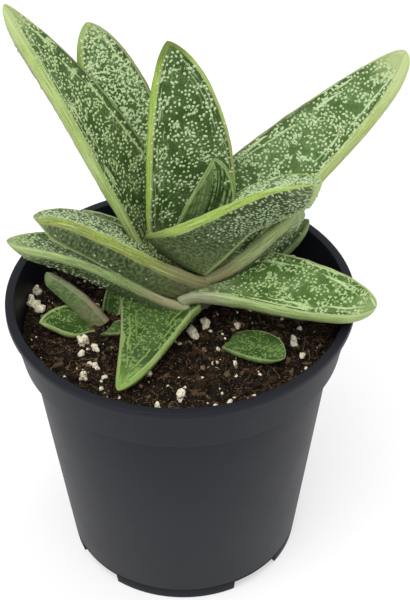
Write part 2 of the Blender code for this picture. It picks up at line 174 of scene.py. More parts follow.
PLANT_LEAVES = (
    Leaf("leaf_heart", ((3.5, 8, 104), (6, 6, 116), (14, 7, 130), (10, 8.5, 140)),
         (-0.1, -0.9, 0.2), (-0.05, -0.9, 0.15), 15, 3, 1.5, 0.25, 0.85, 1.95, 0.75),
    Leaf("leaf_centre", ((2, 12, 96), (6, 15, 122), (3, 24, 150), (-3, 31, 165.5)),
         (0.25, -0.9, 0.2), (0.3, -0.9, 0.2), 27, 5.5, 3, 0.25, 0.85, 2.1, 0.78),
    Leaf("leaf_right_arched", ((2, 9, 111), (3, -2, 128), (27, 7, 138), (39.5, -7, 142)),
         (0.05, 0.35, 0.95), (-0.1, 0.4, 0.85), 25, 8.9, 3.5, 0.55, 1, 1.95, 0.7, -0.45, 2, 0.85),
    Leaf("leaf_right_tall", ((5, 13, 97), (11, 21, 114.5), (38, 30, 126.9), (67, 36, 158)),
         (-0.25, -0.85, 0.65), (-0.5, -0.5, 0.85), 25, 5.5, 4.2, 0.3, 0.85, 2.1, 0.47),
    Leaf("leaf_left_tall", ((-1, 12, 92), (-9, 22, 119), (-27, 26, 152), (-49.6, 36, 175)),
         (0.65, -0.7, 0.5), (0.6, -0.05, 0.45), 20.5, 5.5, 3.8, 0.45, 0.75, 1.6, 0.53),
    Leaf("leaf_back", ((2, 16, 94), (-8, 23, 119), (-20, 38, 148), (-27, 44, 164)),
         (0.3, -0.8, 0.4), (0.3, -0.8, 0.4), 21.5, 5.5, 3, 0.45, 0.85, 2.1, 0.7),
    Leaf("leaf_right_edge", ((4, 8, 98), (18, 10, 101), (26, 17, 109), (35.3, 10.8, 119.2)),
         (-0.45, 0.45, 0.65), (-0.45, 0.45, 0.7), 20, 2.2, 4, 0.4, 1, 2.6, 0.55),
    Leaf("leaf_left_upper", ((3, 8, 100), (-8, 1, 111), (-32, 14, 123), (-43.3, 9.5, 118.3)),
         (0.25, 0.4, 0.85), (0.3, 0.4, 0.8), 21.5, 7.5, 3.9, 0.2, 1, 2.1, 0.42, -0.2),
    Leaf("leaf_right_back", ((4, 13, 95), (15, 17, 95), (28, 22, 97), (39.5, 25, 105)),
         (-0.3, -0.3, 0.9), (-0.3, -0.3, 0.9), 16, 4, 2.6, 0.3, 0.85, 2.2, 0.7),
    Leaf("leaf_left_back", ((0, 14, 95), (-10, 20, 96), (-20, 28, 99), (-31, 36, 101)),
         (0.1, 0.1, 0.9), (0.1, 0.1, 0.9), 16, 4, 2.6, 0.3, 0.85, 2.2, 0.7),
    Leaf("leaf_right_low", ((2, 6, 97), (10, 5, 107), (37, -7, 105), (57, -15.5, 104)),
         (-0.05, 0.15, 1), (-0.1, -0.2, 0.9), 23, 5.5, 4, 0.35, 0.95, 2.25, 0.5),
    Leaf("leaf_left_low", ((6, 3, 94), (-15, 11, 95.5), (-25, 11, 110), (-51.5, 6.5, 112)),
         (0.15, 0.25, 0.95), (0.1, 0.2, 0.9), 20, 6.5, 3, 0.35, 1, 2.1, 0.5, -0.15),
    Leaf("leaf_front_low", ((-3.5, 3, 93.5), (-8, -4, 98), (-8, -17.5, 95), (-18, -34, 89)),
         (-0.25, -0.3, 0.9), (-0.2, -0.5, 0.8), 25, 3.2, 2.6, 0.23, 0.9, 0.95, 0.62),
)
YOUNG_LEAVES = (
    Leaf("offset_leaf_upper", ((-24, 2, 84), (-28, 4, 89), (-34, 7, 94), (-41, 9, 97.5)),
         (0.35, 0.8, 0.35), (0.35, 0.8, 0.35), 9.3, 2.5, 2, 0.3, 0.9, 2.4, 0.35, 0, 0.6),
    Leaf("offset_leaf_left", ((-25, -1, 85), (-30, -2, 88), (-36.5, -2, 90), (-42.5, -4.5, 89.4)),
         (0, -0.1, 1), (0, -0.1, 1), 12.5, 2.5, 1.6, 0.48, 0.4, 1.6, 0.8, 0, 1),
    Leaf("offset_leaf_back", ((-22, 3, 84), (-21, 5, 88), (-20.5, 6.5, 91), (-20.5, 7, 94.5)),
         (-0.3, -0.8, 0.5), (-0.3, -0.8, 0.5), 6, 2, 1.2, 0.3, 0.85, 2.4, 0.6, 0, 0.5),
    Leaf("offset_leaf_front",
         ((-23, -2, 84), (-21.5, -4, 88), (-19.5, -6.5, 89.5), (-17, -9, 89.5)),
         (-0.2, 0, 1), (-0.2, 0, 1), 7, 2, 1.2, 0.3, 0.85, 2.2, 0.6, 0, 0.5),
    Leaf("seedling_leaf", ((11, -6, 83), (16, -10, 87.8), (23, -15, 91), (30.5, -21, 89)),
         (0.1, -0.1, 1), (0.1, -0.1, 1), 12.5, 2.5, 1.6, 0.58, 0.5, 2.7, 0.7, 0, 0.1),
)

DOT_CREAM = (0.47, 0.59, 0.32)


@dataclass
class Skin:
    """How one leaf's surface looks. Each number is a share, where 1 is the most."""

    dots: float = 0.75  # how thickly warts cover the face
    curls: float = 0.3  # squiggles between the warts
    mottle: float = 0.5  # fine pale mottling between them
    streaks: float = 0.5  # pale streaks beside the edge bands
    reach: float = 4.0  # how far they reach from them, in millimetres
    broad: float = 1.0  # how broad they are
    cream: float = 0.4  # cream lines along the bands
    tan: float = 0.35  # tan on the bands' borders
    dull: tuple = (0.0, 0.0)  # how brown the left and the right band are
    tip: float = 0.5  # how much the tip has its own colour
    tip_length: float = 0.12  # share of the leaf that it covers
    end: tuple = (0.40, 0.50, 0.21)  # and that colour
    root: float = 0.14  # length of the root's own colour
    base: tuple = (0.22, 0.225, 0.12)  # and that colour
    under: float = 0.5  # how thickly warts cover the underside
    belly: float = 1.0  # how light the underside is
    spread: float = 1.0  # how far the underside's spots stretch across the leaf
    keel: float = 0.3  # pale line along the keel
    keel_width: float = 0.5  # and its width to each side, in millimetres
    stripes: float = 0.0  # dark and pale stripes over the whole face
    band: tuple = (0.27, 0.38, 0.09)  # colour of the edge bands
    margins: tuple = (0.3, 0.3)  # millimetres by which the two bands run over the face at the tip
    narrow: float = 0.0  # share of their width that the bands lose by the tip
    light: float = 1.0  # how light the ground between the warts is
    bright: float = 0.85  # how bright the markings are
    fade: float = 0.35  # how far they fade towards the root
    marks: tuple = DOT_CREAM  # colour of the warts and other markings


OLIVE_ROOT = (0.19, 0.19, 0.095)
LIME_MARKS = (0.20, 0.32, 0.085)
GREY_ROOT = (0.27, 0.30, 0.19)
PLANT_HIDDEN = Skin(dots=0.3, cream=0.3, tan=0.2, band=(0.13, 0.18, 0.06))
OFFSET_INNER = Skin(
    dots=0.4, curls=0.4, cream=0.2, tan=0.2, tip=0.3, root=0.1, band=(0.1, 0.15, 0.045),
    bright=0.9, marks=LIME_MARKS)
SKINS = {
    "leaf_heart": Skin(
        dots=0.05, curls=0, mottle=0.6, streaks=0, cream=0.3, tan=0.2, tip=0.1, root=0.05,
        stripes=1, band=(0.19, 0.28, 0.09), margins=(1, 0.7), light=0.62, bright=0.9,
        marks=(0.38, 0.53, 0.22)),
    "leaf_centre": Skin(
        dots=0.85, curls=0.25, mottle=0.7, streaks=0.6, cream=0.15, tan=0.9, tip=0.9,
        end=(0.045, 0.08, 0.022), root=0.1, band=(0.27, 0.4, 0.05), margins=(1.9, 0.8)),
    "leaf_right_arched": Skin(
        dots=1, curls=0.8, mottle=1.2, streaks=0.2, cream=0.3, tan=0.15, tip=0.1, root=0.16,
        base=(0.15, 0.21, 0.07), under=1, belly=0.75, keel=0.85, keel_width=1.6,
        band=(0.235, 0.34, 0.052), narrow=0.6, light=1.25, bright=1),
    "leaf_right_tall": Skin(
        dots=1, curls=0.4, mottle=0.8, streaks=1, broad=1.8, cream=0.5, tan=0.8, dull=(0.8, 0),
        tip=0.9, end=(0.48, 0.56, 0.27), under=0.3, band=(0.36, 0.44, 0.14), margins=(0, 2.4),
        light=1.5, bright=1),
    "leaf_left_tall": Skin(
        dots=0.85, curls=0.4, mottle=0.9, streaks=0.95, broad=1.5, cream=0.7, tan=0.7,
        dull=(0, 0.9), tip=0.8, end=(0.45, 0.54, 0.24), under=0.3, band=(0.31, 0.42, 0.12),
        margins=(3.3, 0), fade=0.55, marks=(0.44, 0.56, 0.26)),
    "leaf_back": Skin(
        dots=0.8, curls=0.9, mottle=1.1, streaks=0.4, cream=0.1, tan=0.3, dull=(0, 0.8), tip=0.7,
        band=(0.17, 0.26, 0.04), margins=(1.4, 0.3), light=1.3, bright=0.95),
    "leaf_right_edge": Skin(
        cream=0.45, tan=0.5, root=0.3, base=OLIVE_ROOT, under=0.3, band=(0.25, 0.31, 0.125)),
    "leaf_left_upper": Skin(
        dots=1, curls=0.8, mottle=1, streaks=0.2, cream=0.2, tan=0.45, tip=0.3, root=0.2,
        base=OLIVE_ROOT, under=0.1, belly=0.85, spread=1.5, keel=1, keel_width=2.6,
        band=(0.185, 0.24, 0.036), narrow=0.3),
    "leaf_right_back": PLANT_HIDDEN,
    "leaf_left_back": PLANT_HIDDEN,
    "leaf_right_low": Skin(
        dots=0.55, curls=0.5, mottle=1, streaks=1.1, broad=1.9, cream=0.45, tan=0.6, tip=0.45,
        root=0.32, base=GREY_ROOT, band=(0.25, 0.35, 0.115), margins=(0.2, 0.6), light=1.6,
        bright=0.9, marks=(0.42, 0.55, 0.25)),
    "leaf_left_low": Skin(
        dots=0.6, curls=0.7, mottle=0.9, streaks=0.6, cream=0.35, tan=0.3, tip=0.6, root=0.24,
        base=(0.245, 0.25, 0.14), under=0.3, band=(0.21, 0.3, 0.1), light=1.2),
    "leaf_front_low": Skin(
        dots=0.12, curls=0.75, mottle=0.35, streaks=1.3, reach=4.6, broad=1.9, cream=0.25,
        tan=0.6, dull=(0, 0.5), tip=0.65, tip_length=0.22, end=(0.21, 0.36, 0.06), root=0.06,
        band=(0.16, 0.25, 0.055), margins=(1.7, 0.6), light=0.84, bright=0.68, marks=LIME_MARKS),
    "offset_leaf_upper": Skin(
        dots=0.05, curls=0, mottle=1.3, streaks=0.2, cream=0.2, tan=0.6, tip=0.3, root=0.36,
        base=(0.23, 0.205, 0.13), under=0, belly=1.75, spread=1.5, keel=0.1,
        band=(0.17, 0.19, 0.1), bright=0.4),
    "offset_leaf_left": Skin(
        dots=0.35, curls=0.5, mottle=0.3, streaks=0.8, reach=2.4, cream=0.3, tan=0.6, tip=0.4,
        root=0.12, band=(0.2, 0.28, 0.08), margins=(0.8, 0.8), bright=0.95, marks=LIME_MARKS),
    "offset_leaf_back": OFFSET_INNER,
    "offset_leaf_front": OFFSET_INNER,
    "seedling_leaf": Skin(
        dots=0.45, curls=0.7, streaks=0, cream=0.1, tan=0.1, tip=0.2, end=(0.11, 0.2, 0.045),
        root=0.06, band=(0.1, 0.18, 0.045), margins=(0, 0.5), light=1.1, bright=0.75,
        marks=LIME_MARKS),
}

# Perlite grains, most of them where the photograph shows them: x, y and size
GRAINS = (
    (-46.3, 10.3, 3.4), (-44.9, 8.2, 3.8), (-43.2, 6, 3.4), (-45, 15, 3), (7.5, -3, 4),
    (3.5, -6.5, 3), (-29, -10, 4), (-25.5, -12.5, 2.2), (-29.5, -14.5, 2.2), (-28.5, -25, 3.8),
    (-25, -20.5, 2.2), (-6.5, -38, 2.8), (0, -33, 3.6), (-3, -42, 2.6), (14, -36, 2.2),
    (10, -38, 2), (17, -3, 2.6), (36, -4, 2), (34, -10, 3), (36, -16, 2.4), (35, 27.5, 3.6),
    (24, 36, 2.6), (-19, 40, 3), (5, 43, 2.4), (42, 8, 2.2),
)


def operator(operation, reflected=False):
    """A method of Value that adds a node for this operation."""
    def act(self, other):
        return self.nodes.join(operation, *((other, self) if reflected else (self, other)))
    return act


class Value:
    """A node's output. Arithmetic on it adds Math nodes, or Vector Math nodes for a vector."""

    __add__, __radd__ = operator("ADD"), operator("ADD", reflected=True)
    __sub__, __rsub__ = operator("SUBTRACT"), operator("SUBTRACT", reflected=True)
    __mul__, __rmul__ = operator("MULTIPLY"), operator("MULTIPLY", reflected=True)
    __truediv__, __rtruediv__ = operator("DIVIDE"), operator("DIVIDE", reflected=True)
    __pow__, __rpow__ = operator("POWER"), operator("POWER", reflected=True)
    __lt__, __gt__ = operator("LESS_THAN"), operator("GREATER_THAN")

    def __init__(self, nodes, socket):
        self.nodes, self.socket = nodes, socket


def is_vector(value):
    return isinstance(value, tuple) or (isinstance(value, Value) and value.socket.type == "VECTOR")


class Nodes:
    """Adds nodes to a tree and joins them."""

    def __init__(self, tree):
        self.tree = tree

    def node(self, kind, settings=None, **sockets):
        """A node of this kind. Its settings are set first, then its sockets, by name or place."""
        made = self.tree.nodes.new(kind)
        for name, value in (settings or {}).items():
            setattr(made, name, value)
        for name, value in sockets.items():
            self.feed(made, name, value)
        return made

    def feed(self, node, name, value):
        """Puts a value or a link into a socket, named in words or by its place, as in_0."""
        if name.startswith("in_"):
            socket = node.inputs[int(name[3:])]
        else:
            wanted = name.replace("_", " ").lower()
            socket = next(s for s in node.inputs if s.enabled and s.name.lower() == wanted)
        if isinstance(value, bpy.types.Node):
            value = self.out(value)
        if isinstance(value, Value):
            self.tree.links.new(value.socket, socket)
        else:
            socket.default_value = value

    def out(self, node, name=None):
        """An output of the node, the first one in use unless it is named."""
        shown = [s for s in node.outputs if s.enabled and name in (None, s.name)]
        return Value(self, shown[0])

    def first(self, kind, settings=None, **sockets):
        """The first output of a new node."""
        return self.out(self.node(kind, settings, **sockets))

    def maths(self, operation, *values):
        fed = {f"in_{i}": value for i, value in enumerate(values)}
        return self.first("ShaderNodeMath", {"operation": operation}, **fed)

    def arrows(self, operation, *values):
        """Vector Math. The second value of SCALE is a number."""
        places = ("in_0", "in_3") if operation == "SCALE" else ("in_0", "in_1")
        fed = dict(zip(places, values))
        return self.first("ShaderNodeVectorMath", {"operation": operation}, **fed)

    def join(self, operation, a, b):
        """Math on two numbers, or Vector Math where one of them is a vector."""
        if not is_vector(a) and not is_vector(b):
            return self.maths(operation, a, b)
        if operation == "MULTIPLY" and not (is_vector(a) and is_vector(b)):
            return self.arrows("SCALE", *((a, b) if is_vector(a) else (b, a)))
        return self.arrows(operation, a, b)

    def least(self, a, b):
        return self.maths("MINIMUM", a, b)

    def most(self, a, b):
        return self.maths("MAXIMUM", a, b)

    def share(self, value, low, high):
        """0 below low, 1 above high, and smooth between. It falls where low is over high."""
        if low > high:
            return 1 - self.share(value, high, low)
        made = self.node("ShaderNodeMapRange", {"interpolation_type": "SMOOTHSTEP"}, value=value)
        for name, number in (("From Min", low), ("From Max", high)):
            self.feed(made, name, number)
        return self.out(made)

    def mix(self, factor, a, b):
        """Colour a where the factor is 0, and b where it is 1."""
        made = self.node("ShaderNodeMix", {"data_type": "RGBA"}, in_0=factor)
        for name, colour in (("in_6", a), ("in_7", b)):
            self.feed(made, name, (*colour, 1) if isinstance(colour, tuple) else colour)
        return self.out(made)

    def xyz(self, x, y, z):
        return self.first("ShaderNodeCombineXYZ", in_0=x, in_1=y, in_2=z)

    def parts(self, vector):
        made = self.node("ShaderNodeSeparateXYZ", in_0=vector)
        return [Value(self, socket) for socket in made.outputs]


class Finish(Nodes):
    """A material's nodes, with the Principled shader at their end."""

    def __init__(self, name):
        self.material = bpy.data.materials.new(name)
        self.material.use_nodes = True
        super().__init__(self.material.node_tree)
        self.shader = self.tree.nodes["Principled BSDF"]
        self.place = self.out(self.node("ShaderNodeTexCoord"), "Object") * (1 / MM)

    def attribute(self, name, output="Fac"):
        return self.out(self.node("ShaderNodeAttribute", {"attribute_name": name}), output)

    def noise(self, spacing, flat=None, detail=2.0, lift=0.0):
        """Cloudy noise from 0 to 1, of this spacing in millimetres, in space or on a flat map."""
        settings = {"noise_dimensions": "2D" if flat else "3D"}
        place = flat or self.place
        if lift:
            place = place + (lift, lift, lift)
        return self.first("ShaderNodeTexNoise", settings, vector=place, scale=1 / spacing,
                          detail=detail)

    def spots(self, spacing, size, flat, vary=0.2):
        """Round spots on a flat map, of this radius as a share of their spacing."""
        made = self.node("ShaderNodeTexVoronoi", {"voronoi_dimensions": "2D"}, vector=flat,
                         scale=1 / spacing)
        own = self.parts(self.out(made, "Color"))[0]
        return self.share(self.out(made, "Distance") + own * vary, size + 0.08, size - 0.06)

    def done(self, colour, roughness, height=None, depth=0.1, **constants):
        """Joins up the shader. Height feeds a bump, and depth is its size in millimetres."""
        self.feed(self.shader, "base_color", colour)
        self.feed(self.shader, "roughness", roughness)
        if height is not None:
            bump = self.node("ShaderNodeBump", height=height, distance=depth * MM, strength=1.0)
            self.feed(self.shader, "normal", bump)
        for name, value in constants.items():
            self.feed(self.shader, name, value)
        return self.material


class Form(Nodes):
    """A Geometry Nodes tree with named inputs, which ends in a mesh of one material."""

    KINDS = {float: "NodeSocketFloat", int: "NodeSocketInt", tuple: "NodeSocketVector",
             bpy.types.Material: "NodeSocketMaterial"}

    def __init__(self, name, **inputs):
        super().__init__(bpy.data.node_groups.new(name, "GeometryNodeTree"))
        face = self.tree.interface
        for way in ("OUTPUT", "INPUT"):
            face.new_socket("Geometry", in_out=way, socket_type="NodeSocketGeometry")
        for title, kind in inputs.items():
            face.new_socket(title, in_out="INPUT", socket_type=self.KINDS[kind])
        self.source = self.tree.nodes.new("NodeGroupInput")

    def given(self, name):
        return self.out(self.source, name)

    def step(self, kind, settings=None, **sockets):
        """The first output of a new Geometry node, named without that prefix."""
        return self.first("GeometryNode" + kind, settings, **sockets)

    def here(self):
        return self.step("InputPosition")

    def moved(self, geometry, **how):
        """The geometry, each point set to a position or pushed by an offset."""
        return self.step("SetPosition", geometry=geometry, **how)

    def keep(self, geometry, name, value, kind="FLOAT", domain="POINT"):
        """Stores a value on the mesh under a name that materials can read."""
        return self.step("StoreNamedAttribute", {"data_type": kind, "domain": domain},
                         geometry=geometry, name=name, value=value)

    def stored(self, name):
        return self.step("InputNamedAttribute", {"data_type": "FLOAT"}, name=name)

    def chance(self, low, high, seed):
        """A random number for each point, or a random vector where low and high are vectors."""
        kind = "FLOAT_VECTOR" if isinstance(low, tuple) else "FLOAT"
        return self.first("FunctionNodeRandomValue", {"data_type": kind}, min=low, max=high,
                          seed=seed)

    def cloud(self, spacing, place=None, detail=2.0):
        fed = {"vector": place} if place else {}
        return self.first("ShaderNodeTexNoise", scale=1 / spacing, detail=detail, **fed)

    def end(self, geometry):
        """Realises instances, sets the material and leaves the tree."""
        real = self.step("RealizeInstances", geometry=geometry)
        made = self.step("SetMaterial", geometry=real, material=self.given("Look"))
        leave = self.tree.nodes.new("NodeGroupOutput")
        self.tree.links.new(made.socket, leave.inputs[0])
        return self

    def make(self, name, base=None, **values):
        """A plain mesh object from this tree, with its inputs set by their identifiers."""
        obj = bpy.data.objects.new(name, base or bpy.data.meshes.new(name))
        bpy.context.scene.collection.objects.link(obj)
        modifier = obj.modifiers.new("form", "NODES")
        modifier.node_group = self.tree
        for item in self.tree.interface.items_tree:
            if item.in_out == "INPUT" and item.name in values:
                modifier[item.identifier] = values[item.name]
        mesh = plain(obj).data
        mesh.materials.clear()
        mesh.materials.append(values["Look"])
        mesh.polygons.foreach_set("material_index", [0] * len(mesh.polygons))
        return obj


def plain(obj):
    """Turns what the object's modifiers make into its own mesh."""
    graph = bpy.context.evaluated_depsgraph_get()
    seen = obj.evaluated_get(graph)
    mesh = bpy.data.meshes.new_from_object(seen, preserve_all_data_layers=True, depsgraph=graph)
    obj.modifiers.clear()
    obj.data = mesh
    mesh.name = obj.name
    return obj


def piece(obj, slot, *nodes):
    """Hands a finished object to the frame, in place of these nodes."""
    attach(obj, BODY)
    if nodes:
        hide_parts(*nodes)


# Colours, as linear light
PALE_EDGE = (0.45, 0.55, 0.23)
EDGE_BROWN = (0.155, 0.15, 0.085)
EDGE_TAN = (0.30, 0.25, 0.15)
DEEP_GREEN = (0.031, 0.068, 0.011)
FACE_GREEN = (0.058, 0.108, 0.026)
MOTTLE_GREEN = (0.19, 0.27, 0.115)
UNDER_DARK = (0.034, 0.058, 0.017)
UNDER_GREEN = (0.072, 0.108, 0.038)
UNDER_DOT = (0.36, 0.46, 0.27)
ROOT_TAN = (0.21, 0.215, 0.12)
ROOT_PINK = (0.24, 0.20, 0.13)
PINKER = (1.22, 0.88, 0.92)
PALER = (1.25, 1.3, 1.35)
# Near black: dark tone on crumbs and bark, and on the bed between crumbs partly painted shade in
# the gaps
SOIL_BLACK_AND_GAP_SHADE = (0.0055, 0.004, 0.0025)
SOIL_BROWN = (0.026, 0.016, 0.008)
SOIL_RED = (0.040, 0.019, 0.009)
SOIL_TAN = (0.30, 0.22, 0.13)
BARK_DARK = (0.045, 0.022, 0.012)
BARK_STRAW = (0.18, 0.11, 0.055)
FIBRE_RED = (0.085, 0.036, 0.018)
FIBRE_STRAW = (0.26, 0.165, 0.085)
PERLITE_WHITE = (0.84, 0.79, 0.60)
# Cream-tan painted into the perlite's pits as shade
PERLITE_PIT_SHADE = (0.46, 0.36, 0.20)
PERLITE_STAIN = (0.33, 0.23, 0.12)


def tinted(colour, tint):
    return tuple(c * k for c, k in zip(colour, tint))


def scaled(colour, share):
    return tinted(colour, (share,) * 3)


def gasteria_skin(name, s):
    """Leaf skin: a dark face with cream warts, pale bands lined along their length, and an
    underside mottled grey near the root and dotted towards the tip."""
    f = Finish(f"{name} skin")
    edge, band, along, wart, keel = (f.attribute(part)
                                     for part in ("rim", "band", "along", "wart", "keel"))
    skin = f.attribute("skin", "Vector")
    across, length, _ = f.parts(skin)
    on_left, on_right = across < 0, across > 0
    cloud, drift, grit = f.noise(7.0), f.noise(2.2, lift=30.0), f.noise(0.45, detail=3.0)
    wander = drift - 0.5
    edgeways = edge + f.maths("SIGN", across) * EDGE_SHIFT
    lined = f.noise(1.0, flat=f.xyz(edgeways * 1.5, length * 0.07, 0.0))
    fibres = f.noise(1.0, flat=f.xyz(edgeways * 3.0, length * 0.16, 0.0))

    # The bands run over the face by their margins, most of all towards the tip
    left, right = s.margins
    margin = (on_left * left + on_right * right) * (along ** 3 * 0.65 + 0.35)
    rim, band = edge + margin, (band + margin) * (1 - along * s.narrow)

    # Face: squiggles and specks between the warts, streaks and dark dashes beside the bands
    contour = f.maths("ABSOLUTE", f.noise(1.9, flat=skin, detail=0.6) - 0.5)
    crowd = f.noise(4.5, flat=skin, lift=60.0)
    lines = f.share(contour, 0.09, 0.05) * f.share(f.noise(1.1, flat=skin, lift=8.0), 0.42, 0.50)
    blobs = f.share(f.noise(0.95, flat=skin, detail=0.3, lift=17.0), 0.61, 0.66)
    curls = f.most(lines, blobs) * f.share(crowd, 0.68 - 0.4 * s.curls, 0.76 - 0.4 * s.curls)
    specks = f.spots(0.95, 0.26, skin) * f.share(cloud, 0.45, 0.6) * 0.35
    stream = f.noise(1.0, flat=f.xyz((edgeways + wander) * (1.7 / s.broad), length * 0.09, 0.0),
                     detail=0.5, lift=5.0)
    beside_edge = f.share(rim + wander * 2, -s.reach - 0.8, 0.8 - s.reach)
    streaks = f.share(stream, 0.60, 0.66) * beside_edge * s.streaks
    pale = f.most(f.most(curls, specks), streaks)
    if s.stripes:
        stripe = f.noise(1.0, flat=f.xyz(across * 1.35, length * 0.04, 0.0), detail=0.5, lift=5.0)
        beads = f.share(f.noise(1.1, flat=skin, lift=33.0), 0.42, 0.54) * 0.8 + 0.2
        facet = f.share(across, -1.0, -1.8)
        stripe = f.most(f.share(stripe, 0.48, 0.56) * beads, facet * (drift * 0.6 + 0.15))
        pale = f.most(pale, stripe * 0.6 * s.stripes)
    dashes = f.share(f.maths("ABSOLUTE", rim + 0.9 + wander), 0.7, 0.35)
    dashes = dashes * f.share(lined, 0.42, 0.5)
    ground = f.mix(f.share(cloud + wander * 0.3, 0.3, 0.75), scaled(DEEP_GREEN, s.light),
                   scaled(FACE_GREEN, s.light))
    mottle = f.share(f.noise(0.55, flat=skin, lift=71.0), 0.44, 0.62) * f.share(cloud, 0.25, 0.6)
    ground = f.mix(mottle * 0.4 * s.mottle, ground, MOTTLE_GREEN)
    ground = f.mix(dashes * 0.8, ground, DEEP_GREEN)
    fading = f.share(along + wander * 0.2, 0.05, 0.55) * s.fade + (1 - s.fade)
    face = f.mix(pale * fading * s.bright, ground, s.marks)

    # Underside
    tipward = f.share(along + wander * 0.3, 0.25, 0.6)
    spread = skin * (1 / s.spread, 1.0, 1.0)
    spotted = min(1.0, 2.5 * s.under)
    fine = f.spots(0.8, 0.42, spread, vary=0.4) * (1 - tipward) * spotted
    coarse = f.spots(1.35, 0.36, spread, vary=0.2) * tipward * spotted
    under = f.mix(f.share(cloud + grit * 0.4, 0.4, 0.9), scaled(UNDER_DARK, s.belly),
                  scaled(UNDER_GREEN, s.belly))
    ripple = f.share(f.noise(0.9, flat=f.xyz(across * 0.7, length, 0.0), lift=44.0), 0.46, 0.57)
    ripple = ripple * (1 - tipward * spotted * 0.8) * (0.15 + 0.35 * s.mottle)
    under = f.mix(ripple, under, MOTTLE_GREEN)
    under = f.mix(fine * 0.4, under, UNDER_DOT)
    under = f.mix(coarse * 0.85, under, UNDER_DOT)
    keel_reach = keel / (0.55 + along * 0.9) + wander * 0.4
    keel_line = f.share(keel_reach, s.keel_width * 1.5, s.keel_width * 0.6)
    under = f.mix(keel_line * s.keel, under, PALE_EDGE)

    # Edge bands: lime or olive, fibrous, lined with cream, tan at both borders
    down = rim / band + wander * 0.25
    band_colour = f.mix(f.share(fibres + grit * 0.3, 0.42, 0.78), scaled(s.band, 0.68),
                        scaled(s.band, 1.12))
    creamy = f.share(lined, 0.62 - 0.3 * s.cream, 0.85 - 0.2 * s.cream)
    band_colour = f.mix(creamy * 0.68, band_colour, PALE_EDGE)
    band_colour = f.mix(f.share(down, 0.22, 0.05) * 0.35, band_colour, PALE_EDGE)
    patchy = f.share(cloud, 0.4, 0.6)
    border = f.most(f.share(down, 0.72, 1.0), f.share(down, 0.1, 0.0) * patchy * 0.7)
    band_colour = f.mix(border * s.tan, band_colour, EDGE_TAN)
    band_colour = f.mix(f.share(grit, 0.45, 0.65) * 0.2, band_colour, DOT_CREAM)
    dull_left, dull_right = s.dull
    dull = (on_left * dull_left + on_right * dull_right) * f.share(lined + wander * 0.4, 0.3, 0.55)
    band_colour = f.mix(dull, band_colour, EDGE_BROWN)

    past_edge = f.share(rim + wander * 0.5 + grit * 0.3, -0.45, 0.0)
    past_band = f.share(rim - band + wander * 0.4, -0.1, 0.2)
    colour = f.mix(past_edge, face, band_colour)
    colour = f.mix(past_band, colour, under)

    # The tip's own colour, and the root's, which reaches furthest along the bands' fibres
    end = f.share(along + (f.noise(3.0, lift=90.0) - 0.5) * 0.1 + past_edge * 0.04,
                  1 - s.tip_length, 1 - s.tip_length / 6)
    colour = f.mix(end * s.tip * 0.85, colour, f.mix(fibres * 0.35, s.end, s.band))
    torn = (f.noise(5.0, lift=120.0) - 0.5) * 0.14 + (lined - 0.5) * 0.3
    root = f.share(along + torn, s.root + 0.14, s.root - 0.1)
    root = root * (0.35 + past_edge * (1 - past_band) * 0.5)
    base = f.mix(f.share(drift, 0.35, 0.6), s.base, tinted(s.base, PINKER))
    base = f.mix(f.share(fibres + grit * 0.2, 0.45, 0.75) * 0.6, base, tinted(s.base, PALER))
    base = f.mix(f.share(lined, 0.42, 0.3) * 0.5, base, scaled(s.base, 0.6))
    colour = f.mix(root, colour, base)
    domes = wart * (1 - root) * (f.most(fading, past_band) * (s.bright + 0.08))
    colour = f.mix(domes, colour, f.mix(past_band, s.marks, UNDER_DOT))

    height = f.most(pale * (1 - past_edge), f.most(fine, coarse) * past_band) * 0.6
    height = height + (lined + fibres) * past_edge * (1 - past_band) * 0.5 + grit * 0.3
    return f.done(colour, 0.46 + cloud * 0.1, height, depth=0.12, specular_ior_level=0.2)


